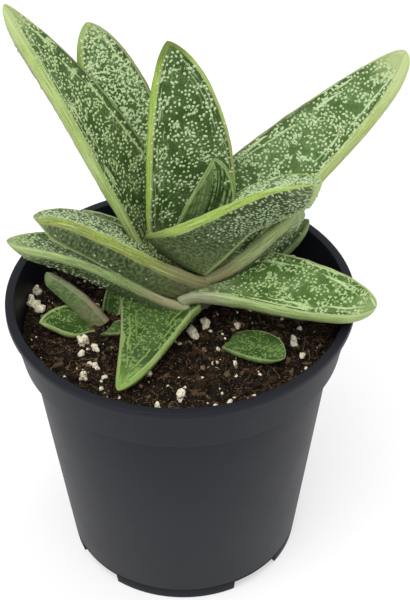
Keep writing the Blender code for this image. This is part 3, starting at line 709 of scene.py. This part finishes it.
def leaf_form():
    """A leaf: its section swept along a Bezier spine, with what the skin reads stored on it."""
    f = Form("gasteria leaf", **dict.fromkeys(LEAF_PLACES, tuple),
             **dict.fromkeys(LEAF_NUMBERS, float), Seed=float, Look=bpy.types.Material)
    half_steps = TOP_STEPS + EDGE_STEPS + SIDE_STEPS
    grid = f.step("MeshGrid", size_x=2.0, size_y=1.0, vertices_x=2 * half_steps + 1,
                  vertices_y=STEPS_ALONG + 1)
    u, v, _ = f.parts(f.here())
    v = v + 0.5

    # The first ring draws in to close the root, and the rest run from root to tip
    ring = v * STEPS_ALONG
    opened = f.least(ring, 1.0)
    run = f.most(ring - 1, 0.0) / (STEPS_ALONG - 1)
    t = 1 - (1 - run) ** TIP_CROWDING
    left = 1 - t

    # The spine, and the way the section stands on it
    a, b, c, d, face, turn = (f.given(name) for name in LEAF_PLACES)
    spine = a * left ** 3 + b * (3 * left ** 2 * t) + c * (3 * left * t ** 2) + d * t ** 3

    def pace(at):
        return (b - a) * (1 - at) ** 2 + (c - b) * (2 * (1 - at) * at) + (d - c) * at ** 2

    heading = f.arrows("NORMALIZE", pace(t))
    look = face * left + turn * t
    up = f.arrows("NORMALIZE", look - heading * f.arrows("DOT_PRODUCT", look, heading))
    sideways = f.arrows("CROSS_PRODUCT", heading, up)

    # Half width: it swells from the root to the widest place, then narrows to the tip
    width, depth, edge_height, widest, base, taper, blunt, keel_off, channel, pointed = (
        f.given(name) for name in LEAF_NUMBERS)
    rise = f.least(t / widest, 1.0)
    fall = f.most(t - widest, 0.0) / (1 - widest)
    share = base + (1 - base) * rise ** 2 * (3 - 2 * rise)
    share = share * f.most(1 - fall ** taper, 0.0) ** blunt
    half = width / 2 * share
    thin = (1 - (1 - f.least(left / TIP_SHARE, 1.0)) ** 2) ** 0.5
    full_band = edge_height * thin * (BAND_LEAST + (1 - BAND_LEAST) * share)
    band = full_band * (1 - pointed * (1 - f.least(t / POINT_SHARE, 1.0)))
    deep = depth * thin * share ** DEPTH_POWER + full_band - band
    hollow = channel * share * left ** HOLLOW_POWER

    # Round the section: face, edge band and side down to the keel
    out = f.maths("ABSOLUTE", u)
    side = f.maths("SIGN", u)
    top = f.least(out * (half_steps / TOP_STEPS), 1.0)
    edge = f.least(f.most(out * half_steps - TOP_STEPS, 0.0) / EDGE_STEPS, 1.0)
    flank = f.most(out * half_steps - TOP_STEPS - EDGE_STEPS, 0.0) / SIDE_STEPS
    keel = keel_off * half
    swell = f.maths("SINE", edge * math.pi) * band * BAND_BULGE
    x = side * (half * top + swell) + (keel - side * half) * flank
    flank_down = flank + f.maths("SINE", flank * math.pi) * SIDE_BULGE
    y = (top ** 2 - 1) * hollow - band * edge - deep * flank_down
    middle = (hollow + band + deep) * -0.5
    x = x * opened
    y = y * opened + middle * (1 - opened)
    place = spine + sideways * x + up * y

    # What the skin reads: millimetres past the face's edge, and a flat map in millimetres
    slope = f.maths("SQRT", (keel - side * half) ** 2 + deep ** 2)
    rim = (top - 1) * half + band * edge + slope * flank
    run_length = 0
    for place_in, weight in GAUSS:
        run_length = f.arrows("LENGTH", pace(t * place_in)) * (3 * weight) + run_length
    flat_map = f.xyz(side * (half + rim), t * run_length + f.given("Seed") * MAP_SHIFT, 0.0)
    mesh = f.keep(grid, "skin", flat_map, kind="FLOAT_VECTOR", domain="CORNER")
    for name, value in (("rim", rim), ("band", band + 0.01), ("along", t),
                        ("keel", slope * (1 - flank)), ("soft", share * thin * opened)):
        mesh = f.keep(mesh, name, value)
    mesh = f.step("MergeByDistance", geometry=f.moved(mesh, position=place), distance=MERGE)
    wave = (f.cloud(WAVE_SPACING) - 0.5) * WAVE_HEIGHT
    ripple = (f.cloud(RIPPLE_SPACING, detail=3.0) - 0.5) * RIPPLE_HEIGHT
    bumps = f.step("InputNormal") * ((wave + ripple) * f.stored("soft"))
    mesh = f.moved(mesh, offset=bumps)
    return f.end(f.step("Transform", geometry=mesh, scale=(MM, MM, MM)))


def wart_form():
    """Warts over a leaf's face and underside, and none on its edge bands."""
    f = Form("gasteria warts", Face=float, Under=float, Scale=float, Seed=int,
             Look=bpy.types.Material)
    leaf, scale = f.given("Geometry"), f.given("Scale")
    rim, band, along = f.stored("rim"), f.stored("band"), f.stored("along")
    on_face = rim < -FACE_CLEAR
    below = (rim - band) > UNDER_CLEAR
    inside = (along > WART_ENDS[0]) * (along < WART_ENDS[1])
    patchy = f.share(f.cloud(3.5 * MM, detail=1.0), 0.28, 0.52)
    tipward = f.share(along, 0.2, 0.5)
    density = (on_face * f.given("Face") + below * tipward * f.given("Under")) * inside * patchy
    points = f.node("GeometryNodeDistributePointsOnFaces", {"distribute_method": "POISSON"},
                    mesh=leaf, distance_min=scale * (WART_SPACING * MM),
                    density_max=WART_CROWD / MM ** 2, density_factor=density,
                    seed=f.given("Seed"))
    size = f.chance(*WART_RADIUS, 3) * scale * MM
    stretch = f.chance(0.0, 1.0, 5) ** 3 * 1.3 + 1
    spin = f.first("FunctionNodeAxisAngleToRotation", axis=(0, 0, 1),
                   angle=f.chance(0.0, math.tau, 8))
    turn = f.first("FunctionNodeRotateRotation", {"rotation_space": "LOCAL"},
                   rotation=f.out(points, "Rotation"), rotate_by=spin)
    under = f.stored("rim") > f.stored("band")
    height = size * (WART_FLATNESS + under * (UNDER_FLATNESS - WART_FLATNESS))
    dome = f.step("MeshIcoSphere", radius=1.0, subdivisions=1)
    domes = f.step("InstanceOnPoints", points=points, instance=dome, rotation=turn,
                   scale=f.xyz(size * stretch, size, height))
    domes = f.keep(f.step("RealizeInstances", geometry=domes), "wart", 1.0)
    joined = f.node("GeometryNodeJoinGeometry")
    for part in (domes, leaf):
        f.tree.links.new(part.socket, joined.inputs[0])
    return f.end(joined)


def leaf_values(leaf, seed, look):
    """The leaf's numbers under the names of the tree's inputs."""
    _, spine, face, face_tip, *numbers = astuple(leaf)
    places = dict(zip(LEAF_PLACES, (*spine, face, face_tip)))
    values = {title: tuple(map(float, place)) for title, place in places.items()}
    values |= dict(zip(LEAF_NUMBERS, map(float, numbers)))
    return values | {"Seed": float(seed), "Look": look}


def build_leaves():
    form, warts = leaf_form(), wart_form()
    for seed, leaf in enumerate(PLANT_LEAVES + YOUNG_LEAVES):
        young = leaf in YOUNG_LEAVES
        skin = SKINS[leaf.name]
        look = gasteria_skin(leaf.name, skin)
        smooth = form.make(leaf.name + "_smooth", **leaf_values(leaf, seed, look))
        obj = warts.make(leaf.name + "_warty", smooth.data, Face=skin.dots, Under=skin.under,
                         Scale=YOUNG_WARTS if young else 1.0, Seed=seed, Look=look)
        bpy.data.objects.remove(smooth)
        obj.data.shade_smooth()
        piece(obj, "young_leaf" if young else "leaf", leaf.name)


def set_camera():
    data = bpy.data.cameras.new("camera")
    data.lens, data.sensor_width = CAMERA_LENS, CAMERA_SENSOR
    data.clip_start, data.clip_end = CAMERA_REACH
    camera = bpy.data.objects.new("camera", data)
    bpy.context.scene.collection.objects.link(camera)
    back = Vector((0, -math.cos(CAMERA_TILT), math.sin(CAMERA_TILT)))
    place = (Vector(CAMERA_TARGET) + back * CAMERA_DISTANCE) * MM
    camera.matrix_world = (Matrix.Translation(place)
                           @ Matrix.Rotation(math.pi / 2 - CAMERA_TILT, 4, "X")
                           @ Matrix.Rotation(CAMERA_ROLL, 4, "Z"))
    bpy.context.scene.camera = camera


def area_light(name, place, power):
    data = bpy.data.lights.new(name, "AREA")
    data.size, data.energy = LIGHT_SIZE * MM, power
    light = bpy.data.objects.new(name, data)
    light.location = Vector(place) * MM
    light.rotation_euler = (-light.location).to_track_quat("-Z", "Y").to_euler()
    bpy.context.scene.collection.objects.link(light)


def set_studio():
    """Soft light from all round, a pale floor, and colours shown as they are."""
    world = bpy.data.worlds.new("studio")
    world.use_nodes = True
    sky = world.node_tree.nodes["Background"]
    sky.inputs["Color"].default_value = (1, 1, 1, 1)
    sky.inputs["Strength"].default_value = SKY_STRENGTH
    bpy.context.scene.world = world
    bpy.context.scene.view_settings.view_transform = "Standard"
    area_light("key", KEY_PLACE, KEY_POWER)
    area_light("fill", FILL_PLACE, FILL_POWER)
    bpy.ops.mesh.primitive_plane_add(size=FLOOR_SIZE * MM)
    floor = bpy.context.object
    floor.name = "floor"
    floor.data.materials.append(floor_finish())


def floor_finish():
    f = Finish("studio floor")
    cloud = f.noise(60.0)
    colour = f.mix(cloud, (0.49, 0.49, 0.49), (0.51, 0.51, 0.51))
    return f.done(colour, 0.9, emission_color=(1, 1, 1, 1), emission_strength=FLOOR_GLOW)


def pot_plastic():
    """Matt charcoal plastic with a faint mould grain and dust."""
    f = Finish("charcoal plastic")
    cloud = f.noise(18.0, detail=3.0)
    grain = f.noise(0.6, detail=3.0)
    colour = f.mix(cloud, (0.0075, 0.0085, 0.013), (0.0105, 0.0115, 0.0165))
    return f.done(colour, 0.42 + cloud * 0.1 + grain * 0.06, grain, depth=0.02,
                  specular_ior_level=0.17)


def corner(radius, height, start):
    """Points of a quarter round about a centre, clockwise from a start angle in degrees."""
    angles = [math.radians(start - 90 * i / CORNER_STEPS) for i in range(CORNER_STEPS + 1)]
    return [(radius + ROUNDING * math.cos(a), height + ROUNDING * math.sin(a)) for a in angles]


def pot_profile():
    """The pot's outline from the middle of its floor over the lip to the middle of its foot."""
    r, top, lip_bottom = RIM_RADIUS, POT_HEIGHT, POT_HEIGHT - LIP_HEIGHT
    inner = r - LIP_WIDTH
    floor, shelf = FLOOR_UNDERSIDE + WALL, BAND_BOTTOM + WALL
    foot_inner = BASE_RADIUS - FOOT_WIDTH
    return [
        (0, floor),
        (body_radius(floor) - WALL, floor),
        (body_radius(BAND_BOTTOM) - WALL, shelf),
        (band_radius(shelf) - WALL, shelf),
        (inner, lip_bottom),
        *corner(inner + ROUNDING, top - ROUNDING, 180),
        *corner(r - ROUNDING, top - ROUNDING, 90),
        *corner(r - ROUNDING, lip_bottom + ROUNDING, 0),
        (band_radius(lip_bottom), lip_bottom),
        *corner(band_radius(BAND_BOTTOM) - ROUNDING, BAND_BOTTOM + ROUNDING, 0),
        (BODY_TOP_RADIUS, BAND_BOTTOM),
        (body_radius(CREASE_HEIGHT + ROUNDING), CREASE_HEIGHT + ROUNDING),
        (body_radius(CREASE_HEIGHT) - CREASE_DEPTH, CREASE_HEIGHT),
        (body_radius(CREASE_HEIGHT - ROUNDING), CREASE_HEIGHT - ROUNDING),
        *corner(BASE_RADIUS - ROUNDING, ROUNDING, 0),
        (foot_inner, 0),
        (foot_inner - ROUNDING, FLOOR_UNDERSIDE),
        (PAD_RADIUS + ROUNDING, FLOOR_UNDERSIDE),
        (PAD_RADIUS, 0),
        (0, 0),
    ]


def turned_form():
    """Turns a profile about Z. Its X runs out from a circle of 1 m, and its Y runs down."""
    f = Form("turned", Steps=int, Look=bpy.types.Material)
    profile = f.step("MeshToCurve", mesh=f.given("Geometry"))
    path = f.step("CurvePrimitiveCircle", resolution=f.given("Steps"), radius=1.0)
    mesh = f.step("CurveToMesh", curve=path, profile_curve=profile)
    return f.end(f.step("MergeByDistance", geometry=mesh, distance=MERGE * MM))


def polyline(name, points):
    mesh = bpy.data.meshes.new(name)
    edges = [(i, i + 1) for i in range(len(points) - 1)]
    mesh.from_pydata([Vector(p) * MM for p in points], edges, [])
    return mesh


def cutter(name, size, radius_out, angle, height, drain=False):
    if drain:
        bpy.ops.mesh.primitive_cylinder_add(radius=size[0] * MM, depth=size[2] * MM,
                                            vertices=DRAIN_STEPS)
    else:
        bpy.ops.mesh.primitive_cube_add(size=1)
    obj = bpy.context.object
    obj.name = name
    if not drain:
        obj.scale = [side * MM for side in size]
    obj.location = (radius_out * MM * math.cos(angle), radius_out * MM * math.sin(angle),
                    height * MM)
    obj.rotation_euler.z = angle
    return obj


def build_pot():
    """The pot, turned from its profile, with its foot's notches and drain holes cut."""
    profile = polyline("pot profile", [(r - 1 / MM, -z, 0) for r, z in pot_profile()])
    pot = turned_form().make("pot_moulding", profile, Steps=TURN_STEPS, Look=pot_plastic())
    cutters = []
    for i in range(NOTCH_COUNT):
        angle = FIRST_NOTCH + i * math.tau / NOTCH_COUNT
        notch = (4 * FOOT_WIDTH, NOTCH_WIDTH, 2 * NOTCH_HEIGHT)
        cutters.append(cutter("notch", notch, BASE_RADIUS, angle, 0))
        drain = (DRAIN_RADIUS, DRAIN_RADIUS, 6 * WALL)
        cutters.append(cutter("drain", drain, DRAIN_FROM_AXIS, angle, FLOOR_UNDERSIDE, drain=True))
    for tool in cutters:
        cut = pot.modifiers.new(tool.name, "BOOLEAN")
        cut.object, cut.operation, cut.solver = tool, "DIFFERENCE", "EXACT"
    plain(pot)
    for tool in cutters:
        bpy.data.objects.remove(tool)
    pot.data.shade_smooth()
    pot.data.set_sharp_from_angle(angle=SHARP_EDGE)
    piece(pot, "pot_plastic", "pot")


def soil_finish():
    """Dark peat: the bed between the crumbs is near black, partly dark peat and partly painted
    shade in the gaps; red brown on the crumbs, with tan flecks.
    """
    f = Finish("potting soil")
    tone = f.attribute("tone")
    cloud = f.noise(3.0, detail=4.0)
    grit = f.noise(0.5, detail=2.0)
    # The bed that shows between the crumbs: dark brown peat mottled near black, partly painted
    # shade in the gaps
    peat_and_gap_shade = f.mix(f.share(cloud * 0.5 + grit * 0.5, 0.42, 0.66), SOIL_BLACK_AND_GAP_SHADE, SOIL_BROWN)
    fleck = f.share(f.noise(0.6, detail=1.0, lift=40.0), 0.66, 0.70)
    peat_and_gap_shade = f.mix(fleck * 0.6, peat_and_gap_shade, SOIL_TAN)
    crumb = f.mix(f.share(cloud, 0.5, 0.6), SOIL_BLACK_AND_GAP_SHADE, SOIL_RED)
    colour = f.mix(f.share(tone, 0.3, 0.75), peat_and_gap_shade, crumb)
    colour = f.mix(f.share(tone, 0.86, 0.97) * 0.6, colour, SOIL_TAN)
    wet = f.share(f.noise(2.0, lift=55.0), 0.56, 0.64)
    return f.done(colour, 0.85 - wet * 0.5, grit + cloud, depth=0.25, specular_ior_level=0.12)


def perlite_finish():
    """White perlite, painted darker cream-tan in its pits as shade, with specks of soil."""
    f = Finish("perlite")
    pits = f.noise(0.7, detail=3.0)
    stain = f.share(f.noise(1.6, detail=3.0, lift=15.0), 0.5, 0.75)
    # Painted shade: where the pits' relief is lowest, the grain is coloured a darker cream-tan
    colour = f.mix(f.share(pits, 0.28, 0.5), PERLITE_PIT_SHADE, PERLITE_WHITE)
    colour = f.mix(stain * 0.45, colour, PERLITE_STAIN)
    return f.done(colour, 0.8, pits, depth=0.3)


def bark_finish(name, dark, light):
    """Bark and fibre, each bit somewhere between these colours."""
    f = Finish(name)
    grain = f.noise(0.5, detail=3.0)
    colour = f.mix(f.attribute("tone"), dark, light)
    return f.done(f.mix(grain * 0.5, colour, SOIL_BLACK_AND_GAP_SHADE), 0.8, grain, depth=0.15,
                  specular_ior_level=0.12)


def soil_form():
    """The soil's crumbly top: a square grid drawn into a disc, raised in a low mound."""
    f = Form("soil surface", Radius=float, Height=float, Look=bpy.types.Material)
    grid = f.step("MeshGrid", size_x=2.0, size_y=2.0, vertices_x=SOIL_CELLS, vertices_y=SOIL_CELLS)
    x, y, _ = f.parts(f.here())
    radius = f.given("Radius")
    disc_x = x * (1 - y ** 2 * 0.5) ** 0.5 * radius
    disc_y = y * (1 - x ** 2 * 0.5) ** 0.5 * radius
    mesh = f.moved(grid, position=f.xyz(disc_x, disc_y, 0.0))
    flat = f.here()
    reach = f.arrows("LENGTH", flat) / radius
    lump = (f.cloud(SOIL_LUMP_SPACING, flat) - 0.5) * SOIL_LUMP
    crumb = f.node("ShaderNodeTexVoronoi", {"feature": "SMOOTH_F1"}, vector=flat,
                   scale=1 / CRUMB_SPACING, smoothness=0.25)
    crumbs = (0.4 - f.out(crumb, "Distance")) * CRUMB_HEIGHT
    dust = (f.cloud(0.9, flat, detail=3.0) - 0.5) * CRUMB_HEIGHT
    level = f.given("Height") + (1 - reach) * SOIL_MOUND
    mesh = f.moved(mesh, offset=f.xyz(0.0, 0.0, level + lump + crumbs + dust))
    return f.end(f.step("Transform", geometry=mesh, scale=(MM, MM, MM)))


def strewn_form(name, **more):
    """A form that strews bits over the soil that it is given."""
    return Form(name, Density=float, Least=float, Most=float, **more, Seed=int,
                Look=bpy.types.Material)


def strewn(f, reach=SOIL_CLEAR):
    """Random points on the soil that is given, no further out than this."""
    x, y, _ = f.parts(f.here())
    inside = (x ** 2 + y ** 2) < (reach * MM) ** 2
    return f.step("DistributePointsOnFaces", {"distribute_method": "RANDOM"},
                  mesh=f.given("Geometry"), density=inside * f.given("Density"),
                  seed=f.given("Seed"))


def set_bits(f, points, bit, stretch, power=2.0, tilt=0.5):
    """Sets a bit on each point: small ones are common, and a high power makes large ones rare."""
    tone = f.chance(0.0, 1.0, 2) ** 2
    size = f.given("Least") + (f.given("Most") - f.given("Least")) * f.chance(0.0, 1.0, 4) ** power
    turn = f.chance((-tilt, -tilt, 0.0), (tilt, tilt, math.tau), 6)
    shape = f.chance(tuple(1 - s for s in stretch), tuple(1 + s for s in stretch), 8)
    points = f.keep(points, "tone", tone)
    bits = f.step("InstanceOnPoints", points=points, instance=bit,
                  rotation=f.first("FunctionNodeEulerToRotation", euler=turn),
                  scale=shape * (size * MM))
    return f.step("RealizeInstances", geometry=bits)


def roughened(f, geometry, waves, reach):
    """Pushes the points about by noise of so many waves a millimetre, by so many millimetres."""
    push = f.out(f.node("ShaderNodeTexNoise", scale=waves / MM), "Color") - (0.5, 0.5, 0.5)
    return f.moved(geometry, offset=push * (reach * MM))


def crumb_form():
    """Crumbs strewn over the soil: rough lumps of a few faces."""
    f = strewn_form("strewn crumbs")
    lump = f.step("MeshIcoSphere", radius=0.5, subdivisions=1)
    crumbs = set_bits(f, strewn(f), lump, (0.35, 0.35, 0.3), power=3.0, tilt=3.0)
    return f.end(roughened(f, crumbs, 1.3, 0.5))


def splinter_form():
    """Bark chips and splinters, each a rough bar laid on the soil."""
    f = strewn_form("splinters")
    bar = f.step("MeshCube", size=(1.0, 0.36, 0.2), vertices_x=4, vertices_y=2, vertices_z=2)
    chips = set_bits(f, strewn(f), bar, (0.3, 0.5, 0.4), tilt=0.35)
    return f.end(roughened(f, chips, 0.9, 0.9))


def fibre_form():
    """Bent fibres that lie on the soil: each is drawn along it a little above its surface."""
    f = strewn_form("fibres", Thick=float)
    arc = f.step("CurveQuadraticBezier", resolution=FIBRE_STEPS, start=(-0.5, 0, 0),
                 middle=(0.1, 0.14, 0), end=(0.5, 0, 0))
    fibres = set_bits(f, strewn(f, SOIL_CLEAR - 2), arc, (0.2, 0.9, 0.0), tilt=0.0)
    fibres = roughened(f, fibres, 0.25, 1.6)
    x, y, _ = f.parts(f.here())
    hit = f.node("GeometryNodeRaycast", target_geometry=f.given("Geometry"),
                 source_position=f.xyz(x, y, POT_HEIGHT * MM), ray_direction=(0, 0, -1),
                 ray_length=1.0)
    arch = f.cloud(1.2 * MM) * (0.7 * MM)
    fibres = f.moved(fibres, selection=f.out(hit, "Is Hit"),
                     position=f.out(hit, "Hit Position") + f.xyz(0.0, 0.0, arch))
    ring = f.step("CurvePrimitiveCircle", resolution=3, radius=f.given("Thick") * MM)
    return f.end(f.step("CurveToMesh", curve=fibres, profile_curve=ring, fill_caps=True))


def grain_form():
    """Perlite grains: knobbly balls at the vertices given, each of its own size."""
    f = Form("perlite grains", Look=bpy.types.Material)
    ball = f.step("MeshIcoSphere", radius=0.5, subdivisions=4)
    turn = f.chance((0.0, 0.0, 0.0), (math.tau, math.tau, math.tau), 1)
    grown = f.chance((0.95, 0.7, 0.6), (1.6, 1.05, 0.95), 2)
    grains = f.step("InstanceOnPoints", points=f.given("Geometry"), instance=ball,
                    rotation=f.first("FunctionNodeEulerToRotation", euler=turn),
                    scale=grown * f.stored("size"))
    mesh = f.step("RealizeInstances", geometry=grains)
    knob = f.node("ShaderNodeTexVoronoi", {"feature": "SMOOTH_F1"}, scale=0.5 / MM,
                  smoothness=0.35)
    knobs = (0.4 - f.out(knob, "Distance")) * 0.36 + (f.cloud(1.6 * MM, detail=2.0) - 0.5) * 0.55
    return f.end(f.moved(mesh, offset=f.step("InputNormal") * (knobs * f.stored("size"))))


def soil_height(x, y):
    """The soil's mean height at a place, in millimetres."""
    return SOIL_EDGE_HEIGHT + SOIL_MOUND * (1 - math.hypot(x, y) / SOIL_RADIUS)


def rim_of(mesh):
    """The vertices round an open surface's border, the way its faces run."""
    border = [e for e in mesh.edges if e.is_boundary]
    loop, ring = border[0].link_loops[0], []
    for _ in border:
        ring.append(loop.vert)
        loop = loop.link_loop_next
        while not loop.edge.is_boundary:
            loop = loop.link_loop_radial_next.link_loop_next
    return ring


def close_below(obj, levels):
    """Closes an open surface with walls through these radii and heights, and a flat bottom."""
    mesh = bmesh.new()
    mesh.from_mesh(obj.data)
    ring = rim_of(mesh)
    for radius, height in levels:
        lower = [mesh.verts.new((*(v.co.xy.normalized() * radius * MM), height * MM))
                 for v in ring]
        for i in range(len(ring)):
            mesh.faces.new((ring[i], ring[i - 1], lower[i - 1], lower[i]))
        ring = lower
    mesh.faces.new(ring[::-1])
    bmesh.ops.recalc_face_normals(mesh, faces=mesh.faces)
    mesh.to_mesh(obj.data)
    mesh.free()


def build_soil():
    """The soil, the perlite in it, and the crumbs, chips and fibres that lie on it."""
    soil = soil_form().make("soil_bed", Radius=SOIL_RADIUS, Height=SOIL_EDGE_HEIGHT,
                            Look=soil_finish())
    top = soil.data.copy()
    shelf, floor = BAND_BOTTOM + WALL + FIT_GAP, FLOOR_UNDERSIDE + WALL + FIT_GAP
    in_by = WALL + FIT_GAP
    close_below(soil, [
        (SOIL_RADIUS, SOIL_EDGE_HEIGHT - SOIL_LIP),
        (band_radius(shelf) - in_by, shelf),
        (body_radius(BAND_BOTTOM) - in_by, shelf),
        (body_radius(floor) - in_by, floor),
    ])
    soil.data.shade_smooth()
    piece(soil, "soil", "soil")

    seen = bpy.data.meshes.new("grains")
    seen.from_pydata([Vector((x, y, soil_height(x, y) + size * (0.5 - GRAIN_SUNK))) * MM
                      for x, y, size in GRAINS], [], [])
    sizes = seen.attributes.new("size", "FLOAT", "POINT")
    sizes.data.foreach_set("value", [size * MM for _, _, size in GRAINS])
    perlite = perlite_finish()
    grains = grain_form().make("perlite_grains", seen, Look=perlite)
    grains.data.shade_smooth()
    piece(grains, "soil")

    crumb, splinter, fibre = crumb_form(), splinter_form(), fibre_form()
    chip_look = bark_finish("bark", BARK_DARK, BARK_STRAW)
    fibre_look = bark_finish("coir", FIBRE_RED, FIBRE_STRAW)
    # Form, name, look, how many on a square metre, and the least and most size
    for seed, (form, name, look, many, least, most) in enumerate((
            (crumb, "soil_crumbs", soil.data.materials[0], 620000, 0.5, 2.4),
            (crumb, "perlite_crumbs", perlite, 38000, 0.4, 2.1),
            (splinter, "bark_splinters", chip_look, 110000, 0.6, 3.6),
            (fibre, "coir_fibres", fibre_look, 110000, 1.5, 7.0)), SOIL_SEED):
        thick = {"Thick": FIBRE_THICK} if form is fibre else {}
        obj = form.make(name, top.copy(), Density=float(many), Least=least, Most=most, Seed=seed,
                        Look=look, **thick)
        piece(obj, "soil")


def dress_stem():
    """The stem's own node, in the colours of the leaves' pinkish bases."""
    f = Finish("stem skin")
    cloud = f.noise(4.0, detail=3.0)
    fibre = f.noise(1.2, detail=2.0, lift=20.0)
    colour = f.mix(cloud, ROOT_TAN, ROOT_PINK)
    colour = f.mix(f.share(fibre, 0.5, 0.7) * 0.6, colour, SOIL_TAN)
    look = f.done(colour, 0.6, fibre, depth=0.15)
    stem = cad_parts["stem"]
    for slot in stem.material_slots:
        slot.material = look


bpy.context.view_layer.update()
set_camera()
set_studio()
build_leaves()
build_pot()
build_soil()
dress_stem()
